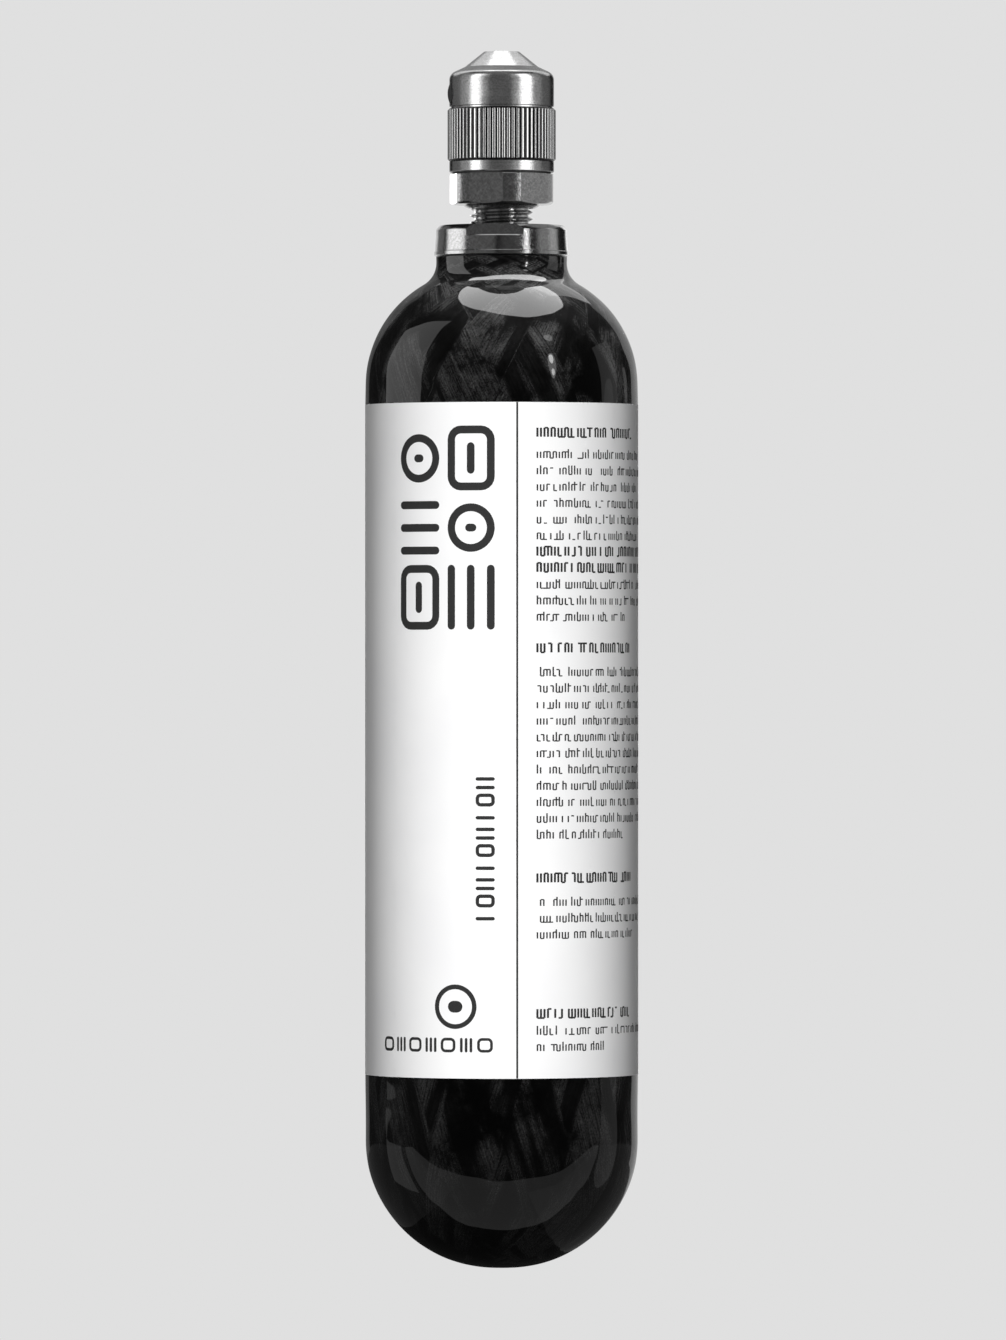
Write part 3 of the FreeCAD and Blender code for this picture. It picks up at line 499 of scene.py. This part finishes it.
class Graph:
    """A material's nodes, with short calls for the ones that are used often."""

    def __init__(self, name):
        self.material = bpy.data.materials.new(name)
        self.material.use_nodes = True
        self.tree = self.material.node_tree
        self.shader = self.tree.nodes["Principled BSDF"]

    def set(self, **values):
        """Values or links for the shader's own sockets, with _ for a space."""
        for name, value in values.items():
            self.feed(self.shader.inputs[name.replace("_", " ")], value)

    def feed(self, socket, value):
        if isinstance(value, bpy.types.NodeSocket):
            self.tree.links.new(value, socket)
        else:
            socket.default_value = value

    def add(self, kind, inputs=(), **settings):
        node = self.tree.nodes.new(kind)
        for name, value in settings.items():
            setattr(node, name, value)
        for key, value in dict(inputs).items():
            self.feed(node.inputs[key], value)
        return node

    def math(self, operation, *values):
        inputs = dict(enumerate(values))
        return self.add("ShaderNodeMath", inputs, operation=operation).outputs[0]

    def place(self):
        return self.add("ShaderNodeTexCoord").outputs["Object"]

    def split(self, vector):
        return self.add("ShaderNodeSeparateXYZ", {0: vector}).outputs

    def join(self, x, y, z):
        return self.add("ShaderNodeCombineXYZ", {0: x, 1: y, 2: z}).outputs[0]

    def noise(self, vector, scale, detail, roughness):
        inputs = {"Vector": vector, "Scale": scale, "Detail": detail, "Roughness": roughness}
        return self.add("ShaderNodeTexNoise", inputs).outputs["Fac"]

    def range(self, value, low, high, to_low=0.0, to_high=1.0):
        """A smooth step from one level to another."""
        inputs = {"Value": value, "From Min": low, "From Max": high, "To Min": to_low, "To Max": to_high}
        return self.add("ShaderNodeMapRange", inputs, interpolation_type="SMOOTHSTEP").outputs["Result"]

    def mix(self, share, first, second):
        node = self.add("ShaderNodeMix", data_type="RGBA")
        for socket, value in zip((0, 6, 7), (share, first, second)):
            self.feed(node.inputs[socket], value)
        return node.outputs[2]

    def blend(self, share, dark, light):
        return self.mix(share, (*dark, 1), (*light, 1))

    def bump(self, height, distance):
        inputs = {"Height": height, "Distance": distance, "Strength": 1.0}
        return self.add("ShaderNodeBump", inputs).outputs["Normal"]


def grey(value):
    return (value, value, value)


def carbon_material():
    """Glossy resin over wound carbon: crossing bands of fine fibre, some catching more light."""
    fibre_scale, fibre_stretch = 2.4, 0.06
    tow_scale, tow_stretch = 0.17, 0.12
    base_shade_low, base_shade_high = 0.01, 0.06
    neck_low, neck_high = 0.2185, 0.2215
    g = Graph("wound_carbon")
    place = g.place()
    x, y, z = g.split(place)
    turn = g.math("ARCTAN2", y, x)
    lead = g.add("ShaderNodeAttribute", attribute_name="lead").outputs["Fac"]
    run = g.add("ShaderNodeAttribute", attribute_name="run").outputs["Fac"]
    families = []
    for operation in ("ADD", "SUBTRACT"):
        way = g.math(operation, turn, lead)
        round_x = g.math("MULTIPLY", g.math("COSINE", way), WALL)
        round_y = g.math("MULTIPLY", g.math("SINE", way), WALL)
        fibre_run = g.math("MULTIPLY", run, fibre_stretch)
        fibre = g.noise(g.join(round_x, round_y, fibre_run), fibre_scale, 3, 0.7)
        tow_run = g.math("MULTIPLY", run, tow_stretch)
        tow = g.noise(g.join(round_x, round_y, tow_run), tow_scale, 1, 0.5)
        wave = g.math("SINE", g.math("MULTIPLY", way, BANDS))
        families.append((fibre, tow, wave))
    on_top = g.range(g.math("MULTIPLY", families[0][2], families[1][2]), -0.05, 0.05)

    def top_of(index):
        a, b = families[0][index], families[1][index]
        return g.math("ADD", b, g.math("MULTIPLY", on_top, g.math("SUBTRACT", a, b)))

    fibre = top_of(0)
    tow = g.range(top_of(1), 0.4, 0.56, 0.1, 1.0)
    cloud = g.range(g.noise(place, 70, 6, 0.62), 0.38, 0.62)
    speckle = g.range(g.noise(place, 2600, 2, 0.6), 0.3, 0.7, 0.45, 1.55)
    strands = g.range(fibre, 0.36, 0.7, 0.3, 1.3)
    edge = g.range(g.math("ABSOLUTE", top_of(2)), 0.0, 0.07, 0.35, 0.0)
    share = g.math("MULTIPLY", g.math("MULTIPLY_ADD", tow, cloud, g.math("MULTIPLY", edge, cloud)), strands)
    # Painted shade: the bands' grey is darker towards the base's tip.
    share = g.math("MULTIPLY", share, g.range(z, base_shade_low, base_shade_high, 0.55, 1.0))
    g.set(
        Base_Color=g.blend(g.math("MULTIPLY", share, speckle), grey(0.0006), grey(0.055)),
        Roughness=g.range(fibre, 0.3, 0.7, 0.6, 0.45),
        Specular_IOR_Level=0.06,
        Coat_Weight=1.0,
        Coat_Roughness=0.03,
        Coat_IOR=g.range(z, neck_low, neck_high, 1.5, 1.8),
        Normal=g.bump(fibre, 0.00006),
    )
    return g.material


def cap_material():
    """Lathe-turned metal: fine rings round the axis, with speckle and small changes of gloss.

    In the knurled band the grooves carry painted shade and the ridges a painted highlight.
    """
    knurl_low, knurl_high, knurl_edge = 0.2475, 0.2593, 0.00004
    groove_radius, ridge_radius = 0.01182, 0.01228
    roughness = 0.22
    g = Graph("cap_metal")
    place = g.place()
    x, y, z = g.split(place)
    radius = g.math("SQRT", g.math("ADD", g.math("MULTIPLY", x, x), g.math("MULTIPLY", y, y)))
    turn = g.math("MULTIPLY", g.math("ARCTAN2", y, x), 0.00003)
    rings = g.noise(g.join(radius, z, turn), 13000, 3, 0.7)
    speckle = g.noise(place, 3000, 3, 0.75)
    cloud = g.noise(place, 260, 3, 0.5)
    mixed = g.math("MULTIPLY_ADD", rings, 0.4, g.math("MULTIPLY", speckle, 0.6))
    plain = g.blend(g.range(mixed, 0.4, 0.6), grey(0.33), grey(0.48))
    above = g.range(z, knurl_low - knurl_edge, knurl_low + knurl_edge)
    below = g.range(z, knurl_high - knurl_edge, knurl_high + knurl_edge, 1.0, 0.0)
    # Painted shade in the knurl's grooves and a painted highlight on its ridges, chosen by radius.
    knurl_shade_and_highlight = g.blend(g.range(radius, groove_radius, ridge_radius), grey(0.02), grey(0.72))
    g.set(
        Base_Color=g.mix(g.math("MULTIPLY", above, below), plain, knurl_shade_and_highlight),
        Metallic=1.0,
        Roughness=g.range(cloud, 0.3, 0.7, roughness * 0.8, roughness * 1.25),
        Normal=g.bump(mixed, 0.000012),
    )
    return g.material


def milled_metal(name, dark, light, roughness):
    """Milled metal: two crossed sets of scratches."""
    g = Graph(name)
    place = g.place()
    x, y, z = g.split(place)
    one = g.noise(g.join(g.math("ADD", x, z), y, g.math("MULTIPLY", z, 0.2)), 3600, 3, 0.7)
    two = g.noise(g.join(g.math("SUBTRACT", x, z), y, g.math("MULTIPLY", x, 0.2)), 3600, 3, 0.7)
    mixed = g.math("MULTIPLY", g.math("ADD", one, two), 0.5)
    g.set(
        Base_Color=g.blend(g.range(mixed, 0.42, 0.58), grey(dark), grey(light)),
        Metallic=1.0,
        Roughness=g.range(one, 0.3, 0.7, roughness * 0.8, roughness * 1.3),
        Normal=g.bump(mixed, 0.00002),
    )
    return g.material


def plain_metal(name, colour, roughness, grain=5000):
    """Metal with an even grain, for the small and hidden pieces."""
    g = Graph(name)
    grains = g.noise(g.place(), grain, 3, 0.6)
    darker = tuple(c * 0.8 for c in colour)
    g.set(
        Base_Color=g.blend(g.range(grains, 0.35, 0.65), darker, colour),
        Metallic=1.0,
        Roughness=g.range(grains, 0.3, 0.7, roughness * 0.85, roughness * 1.2),
        Normal=g.bump(grains, 0.000004),
    )
    return g.material


def soft_material(name, dark, light, roughness):
    """Rubber or plain plastic, with a fine moulded grain."""
    g = Graph(name)
    grains = g.noise(g.place(), 3000, 3, 0.6)
    g.set(
        Base_Color=g.blend(g.range(grains, 0.3, 0.7), dark, light),
        Roughness=g.range(grains, 0.3, 0.7, roughness * 0.9, roughness * 1.1),
        Normal=g.bump(grains, 0.00001),
    )
    return g.material


def film_material():
    """White satin film with a little tooth."""
    g = Graph("label_film")
    fine = g.noise(g.place(), 4200, 2, 0.5)
    broad = g.noise(g.place(), 40, 3, 0.5)
    g.set(
        Base_Color=g.blend(g.range(broad, 0.3, 0.7), (0.86, 0.86, 0.865), (0.9, 0.9, 0.9)),
        Roughness=g.range(fine, 0.3, 0.7, 0.42, 0.5),
        Specular_IOR_Level=0.35,
        Normal=g.bump(fine, 0.000002),
    )
    return g.material


def ink_material():
    """Dark grey print."""
    g = Graph("label_ink")
    fine = g.noise(g.place(), 6000, 2, 0.5)
    g.set(
        Base_Color=g.blend(g.range(fine, 0.3, 0.7), grey(0.028), grey(0.04)),
        Roughness=g.range(fine, 0.3, 0.7, 0.45, 0.55),
        Specular_IOR_Level=0.3,
    )
    return g.material


def paint(material, *names):
    """Gives CAD nodes a material."""
    for name in names:
        for slot in NODES[name].material_slots:
            slot.material = material


def paint_nodes():
    """Materials for the CAD nodes that stay as they are."""
    paint(cap_material(), "protective_cap")
    paint(milled_metal("valve_metal", 0.3, 0.5, 0.2), "valve_body")
    paint(milled_metal("ring_metal", 0.3, 0.42, 0.16), "neck_ring")
    paint(plain_metal("washer_metal", grey(0.5), 0.25), "stem_washer")
    paint(plain_metal("pin_steel", grey(0.55), 0.18), "valve_pin")
    paint(plain_metal("spring_wire", grey(0.45), 0.3), "pin_spring")
    paint(plain_metal("turned_brass", (0.62, 0.46, 0.22), 0.3), "spring_retainer", "pin_guide")
    paint(plain_metal("sintered_bronze", (0.42, 0.3, 0.16), 0.6, 9000), "inlet_filter")
    paint(plain_metal("liner_aluminium", grey(0.65), 0.35, 1500), "liner")
    plastic = soft_material("seat_plastic", (0.6, 0.58, 0.5), (0.72, 0.7, 0.62), 0.5)
    paint(plastic, "valve_seat", "neck_backup_ring")
    rubber = soft_material("seal_rubber", grey(0.008), grey(0.016), 0.6)
    paint(rubber, "neck_o_ring", "outlet_o_ring", "pin_seal", "cap_gasket", "vent_plug")


# ---------------------------------------------------------------- spring


def make_spring():
    """The pin's spring: a copy of the CAD node's coil that stands where the node stood, with the node
    hidden.
    """
    node = NODES["pin_spring"]
    spring = bpy.data.objects.new("spring_coil", node.data.copy())
    spring.matrix_world = node.matrix_world
    bpy.context.scene.collection.objects.link(spring)
    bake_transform(spring)
    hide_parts("pin_spring")


# ---------------------------------------------------------------- studio

CAMERA_DISTANCE = 2.6
CAMERA_HEIGHT = 0.1337
CAMERA_ASIDE = 0.0003
LONG_SIDE_SEEN = 0.2998
SENSOR = 36.0
BACKDROP = 0.745
AMBIENT = 0.012
FLOOR_HALF = 6.0
FLOOR_LEVEL = -0.0002


def add_camera():
    data = bpy.data.cameras.new("camera")
    data.sensor_width = SENSOR
    data.lens = SENSOR * CAMERA_DISTANCE / LONG_SIDE_SEEN
    camera = bpy.data.objects.new("camera", data)
    camera.location = (CAMERA_ASIDE, -CAMERA_DISTANCE, CAMERA_HEIGHT)
    camera.rotation_euler = (math.radians(90), 0, 0)
    bpy.context.scene.collection.objects.link(camera)
    bpy.context.scene.camera = camera


def seen_only(tree, seen, other):
    """A shader that the camera sees in one brightness and the object in another."""
    nodes, links = tree.nodes, tree.links
    path = nodes.new("ShaderNodeLightPath")
    level = nodes.new("ShaderNodeMapRange")
    links.new(path.outputs["Is Camera Ray"], level.inputs["Value"])
    level.inputs["To Min"].default_value = other
    level.inputs["To Max"].default_value = seen
    return level.outputs["Result"]


def add_world():
    """A backdrop that the camera sees as pale grey and that hardly lights the object."""
    world = bpy.data.worlds.new("studio")
    bpy.context.scene.world = world
    world.use_nodes = True
    background = world.node_tree.nodes["Background"]
    background.inputs["Color"].default_value = (1, 1, 1, 1)
    level = seen_only(world.node_tree, BACKDROP, AMBIENT)
    world.node_tree.links.new(level, background.inputs["Strength"])


def add_floor():
    """A pale floor that reads as the same tone as the backdrop and stays out of reflections."""
    mesh = bpy.data.meshes.new("floor")
    corners = [(FLOOR_HALF * x, FLOOR_HALF * y, 0) for x, y in ((-1, -1), (1, -1), (1, 1), (-1, 1))]
    mesh.from_pydata(corners, [], [(0, 1, 2, 3)])
    floor = bpy.data.objects.new("floor", mesh)
    floor.location.z = FLOOR_LEVEL
    bpy.context.scene.collection.objects.link(floor)
    material = bpy.data.materials.new("floor_paint")
    material.use_nodes = True
    nodes, links = material.node_tree.nodes, material.node_tree.links
    nodes.remove(nodes["Principled BSDF"])
    glow = nodes.new("ShaderNodeEmission")
    glow.inputs["Strength"].default_value = BACKDROP
    links.new(glow.outputs[0], nodes["Material Output"].inputs["Surface"])
    mesh.materials.append(material)
    floor.visible_glossy = False
    floor.visible_diffuse = False
    floor.visible_shadow = False


# Lights. Places round the object are in degrees: a turn, from the camera to the right, and a height
# angle, seen from AIM. Each light shows only on the pieces that it is for.

AIM = Vector((0, 0, 0.2))
KEY_LEVEL = 0.12
NEAR = 1.2
FAR = 1.6
SHELL = ["wound_shell", "carbon_overwrap"]
LABEL = ["label_film", "label_lap", "label_marks", "label_text"]
RING = ["neck_ring", "stem_washer"]
VALVE = ["valve_body"]
CAP = ["protective_cap", "vent_plug", "cap_gasket"]


def add_light(name, names, place, facing, size, brightness, glossy=True, diffuse=False, oval=False):
    """A flat lamp of a set brightness, which the camera does not see. Size is its two sides."""
    wide, tall = size
    data = bpy.data.lights.new(name, "AREA")
    data.shape = "ELLIPSE" if oval else "RECTANGLE"
    data.size, data.size_y = wide, tall
    data.energy = brightness * math.pi * wide * tall
    if oval:
        data.energy *= math.pi / 4
    light = bpy.data.objects.new(name, data)
    light.location = place
    light.rotation_euler = facing
    bpy.context.scene.collection.objects.link(light)
    light.visible_camera = False
    light.visible_glossy = glossy
    light.visible_diffuse = diffuse
    group = bpy.data.collections.new(f"lit_by_{name}")
    for lit in names:
        group.objects.link(bpy.data.objects[lit])
    light.light_linking.receiver_collection = group


def outward(turn, tilt):
    """The direction from the object to a place round it."""
    a, e = math.radians(turn), math.radians(tilt)
    return Vector((math.sin(a) * math.cos(e), -math.cos(a) * math.cos(e), math.sin(e)))


def turned_to(out):
    """The rotation of a lamp that lies in a direction from the object and faces it."""
    return out.to_track_quat("Z", "Y").to_euler()


def panel_size(distance, wide, tall):
    """The sides of a panel that covers two angles from a distance."""
    return [2 * distance * math.tan(math.radians(angle) / 2) for angle in (wide, tall)]


def add_panel(name, names, turn, tilt, wide, tall, brightness, distance=NEAR, **options):
    """A panel round the object that faces it; wide and tall are angles, as the object sees them."""
    out = outward(turn, tilt)
    size = panel_size(distance, wide, tall)
    add_light(name, names, AIM + out * distance, turned_to(out), size, brightness, **options)


def add_key(name, names, turn, distance, brightness):
    """A tall narrow strip, level with the label, that only lights what is matt."""
    out = outward(turn, 0)
    place = (out.x * distance, out.y * distance, KEY_LEVEL)
    size = panel_size(distance, 7, 80)
    add_light(name, names, place, turned_to(out), size, brightness, glossy=False, diffuse=True)


def add_wall(name, names, near, far, low, high, brightness):
    """An upright panel between two places on the floor plan."""
    place = Vector(((near[0] + far[0]) / 2, (near[1] + far[1]) / 2, (low + high) / 2))
    across = Vector((far[1] - near[1], near[0] - far[0], 0))
    out = across if across.dot(place) > 0 else -across
    add_light(name, names, place, turned_to(out), (math.dist(near, far), high - low), brightness)


def add_card(name, names, left, right, near, far, level, brightness, **options):
    """A level card over or under the object; near is its edge nearest the camera."""
    place = ((left + right) / 2, (near + far) / 2, level)
    facing = (0 if level > 0 else math.pi, 0, 0)
    add_light(name, names, place, facing, (right - left, far - near), brightness, **options)


def add_soft_card(name, names, left, right, near, far, level, brightness):
    """Three nested cards, so that the edge of their reflection is soft."""
    count, shrink = 3, 0.22
    x, y = (left + right) / 2, (near + far) / 2
    for i in range(count):
        share = 1 - shrink * i
        half_x, half_y = share * (right - left) / 2, share * (far - near) / 2
        edges = (x - half_x, x + half_x, y - half_y, y + half_y)
        add_card(f"{name}_{i}", names, *edges, level, brightness / count)


def add_panels(names, panels, **options):
    """Panels by name, each with a turn, a tilt, two angles and a brightness."""
    for name, values in panels.items():
        add_panel(name, names, *values, **options)


def add_uprights(names, panels, tilt=5, tall=60):
    """Upright panels all round some turned pieces. Each has a turn, a width and a brightness."""
    for name, (turn, wide, brightness) in panels.items():
        add_panel(name, names, turn, tilt, wide, tall, brightness)


def add_shell_lights():
    add_card("overhead", SHELL, -0.46, 0.78, -0.42, 0.86, 1.4, 5.0, diffuse=True, oval=True)
    add_panel("shell_key", SHELL, 12, 48, 34, 30, 12, distance=0.42, glossy=False, diffuse=True)
    add_key("shell_front_key", SHELL, -1.5, 0.34, 5)
    add_wall("left_panel", SHELL, (-0.95, -0.31), (-2.12, 0.98), 0.04, 1.66, 0.9)
    add_wall("left_low_panel", SHELL, (-1.25, 0.08), (-2.05, 0.9), -0.85, -0.06, 0.26)
    spots = {
        "right_spot": (45, 17, 6, 20, 2.0),
        "right_spot_low": (45, 13, 3, 6, 8.0),
        "right_spot_high": (45, 23, 3, 6, 9.0),
        "right_top_spot": (50, 42, 8, 6, 2.0),
        "right_top_middle": (50, 42, 4, 3, 6.0),
        "right_low_panel": (102, -15, 22, 40, 0.2),
    }
    add_panels(SHELL, spots, oval=True)
    sides = {"right_panel": (104, 10, 22, 32, 0.33), "right_edge": (130, 0, 5, 16, 0.3)}
    add_panels(SHELL, sides)
    rims = {
        "rim_left": (-166, 12, 28, 44, 0.13),
        "rim_left_high": (-170, 44, 16, 22, 0.5),
        "rim_right": (160, 10, 34, 50, 0.42),
        "rim_right_high": (163, 48, 30, 28, 1.3),
    }
    add_panels(SHELL, rims, distance=FAR)
    add_soft_card("table_glow", SHELL, -2.2, 2.2, -0.27, -0.03, -0.15, 0.85)
    add_soft_card("ground_left", SHELL, -4.3, -0.3, -0.3, 4.3, -0.3, 0.13)
    add_soft_card("ground_right", SHELL, 0.15, 4.3, -0.3, 4.3, -0.3, 0.18)


def add_metal_lights():
    ring = {"ring_left": (-89, 40, 2.15), "ring_back": (157, 14, 0.9), "ring_strip": (44, 3, 8.0)}
    add_uprights(RING, ring)
    add_panel("ring_sky", RING, 135, 50, 70, 40, 0.35, distance=1.4)
    valve = {
        "valve_left": (-110, 10, 2.0),
        "valve_left_soft": (-90, 28, 0.14),
        "valve_strip": (44.5, 5, 5.0),
        "valve_right": (139, 46, 0.42),
    }
    add_uprights(VALVE, valve)
    add_uprights(VALVE, {"valve_back_left": (-159, 14, 3.2)}, tall=110)
    both = {
        "metal_dim": (79, 26, 0.38),
        "metal_right": (103, 22, 0.7),
        "metal_front_left": (-36, 50, 0.16),
        "metal_front_right": (18, 40, 0.08),
        "metal_far_left": (-136, 30, 0.2),
    }
    add_uprights(RING + VALVE, both)
    add_card("metal_ground", RING + VALVE + CAP, -3, 3, -3, 3, -0.3, 0.28)
    add_card("metal_overhead", RING + VALVE, -0.4, 0.4, -0.5, 0.5, 1.4, 1.2)


def add_cap_lights():
    sides = {
        "cap_left": (-60, 24, 3.2),
        "cap_right": (56, 28, 3.2),
        "cap_front": (0, 66, 0.14),
        "cap_left_soft": (-40, 18, 0.4),
        "cap_right_soft": (34, 18, 0.4),
        "cap_far_left": (-88, 30, 0.45),
        "cap_far_right": (84, 28, 0.4),
        "cap_side_left": (-122, 36, 0.16),
        "cap_side_right": (116, 34, 0.14),
    }
    add_uprights(CAP, sides, tilt=12, tall=74)
    sky = {
        "cap_sky_left": (-142, 26, 1.1),
        "cap_sky_right": (142, 26, 1.1),
        "cap_sky_middle": (180, 40, 0.34),
    }
    add_uprights(CAP, sky, tilt=46, tall=48)
    add_panel("cap_sky_low", CAP, 180, 5, 40, 32, 0.4)
    add_panel("cap_front_high", CAP, 0, 71, 60, 48, 0.2)
    add_panel("cap_overhead", CAP, 0, 105, 30, 14, 3.4)


def add_lights():
    add_key("key", LABEL + CAP + RING + VALVE, -1.5, 0.34, 24)
    add_key("back_key_left", LABEL + SHELL, -160, 1.2, 10)
    add_key("back_key_right", LABEL + SHELL, 160, 1.2, 10)
    add_panel("backdrop", LABEL + RING + VALVE, 182, 0, 56, 44, 0.85, distance=FAR, diffuse=True)
    add_shell_lights()
    add_metal_lights()
    add_cap_lights()


carbon = carbon_material()
make_shell(carbon)
paint(carbon, "carbon_overwrap")
make_label(film_material(), ink_material())
paint_nodes()
make_spring()
add_camera()
add_world()
add_floor()
add_lights()
bpy.context.scene.view_settings.view_transform = "Standard"
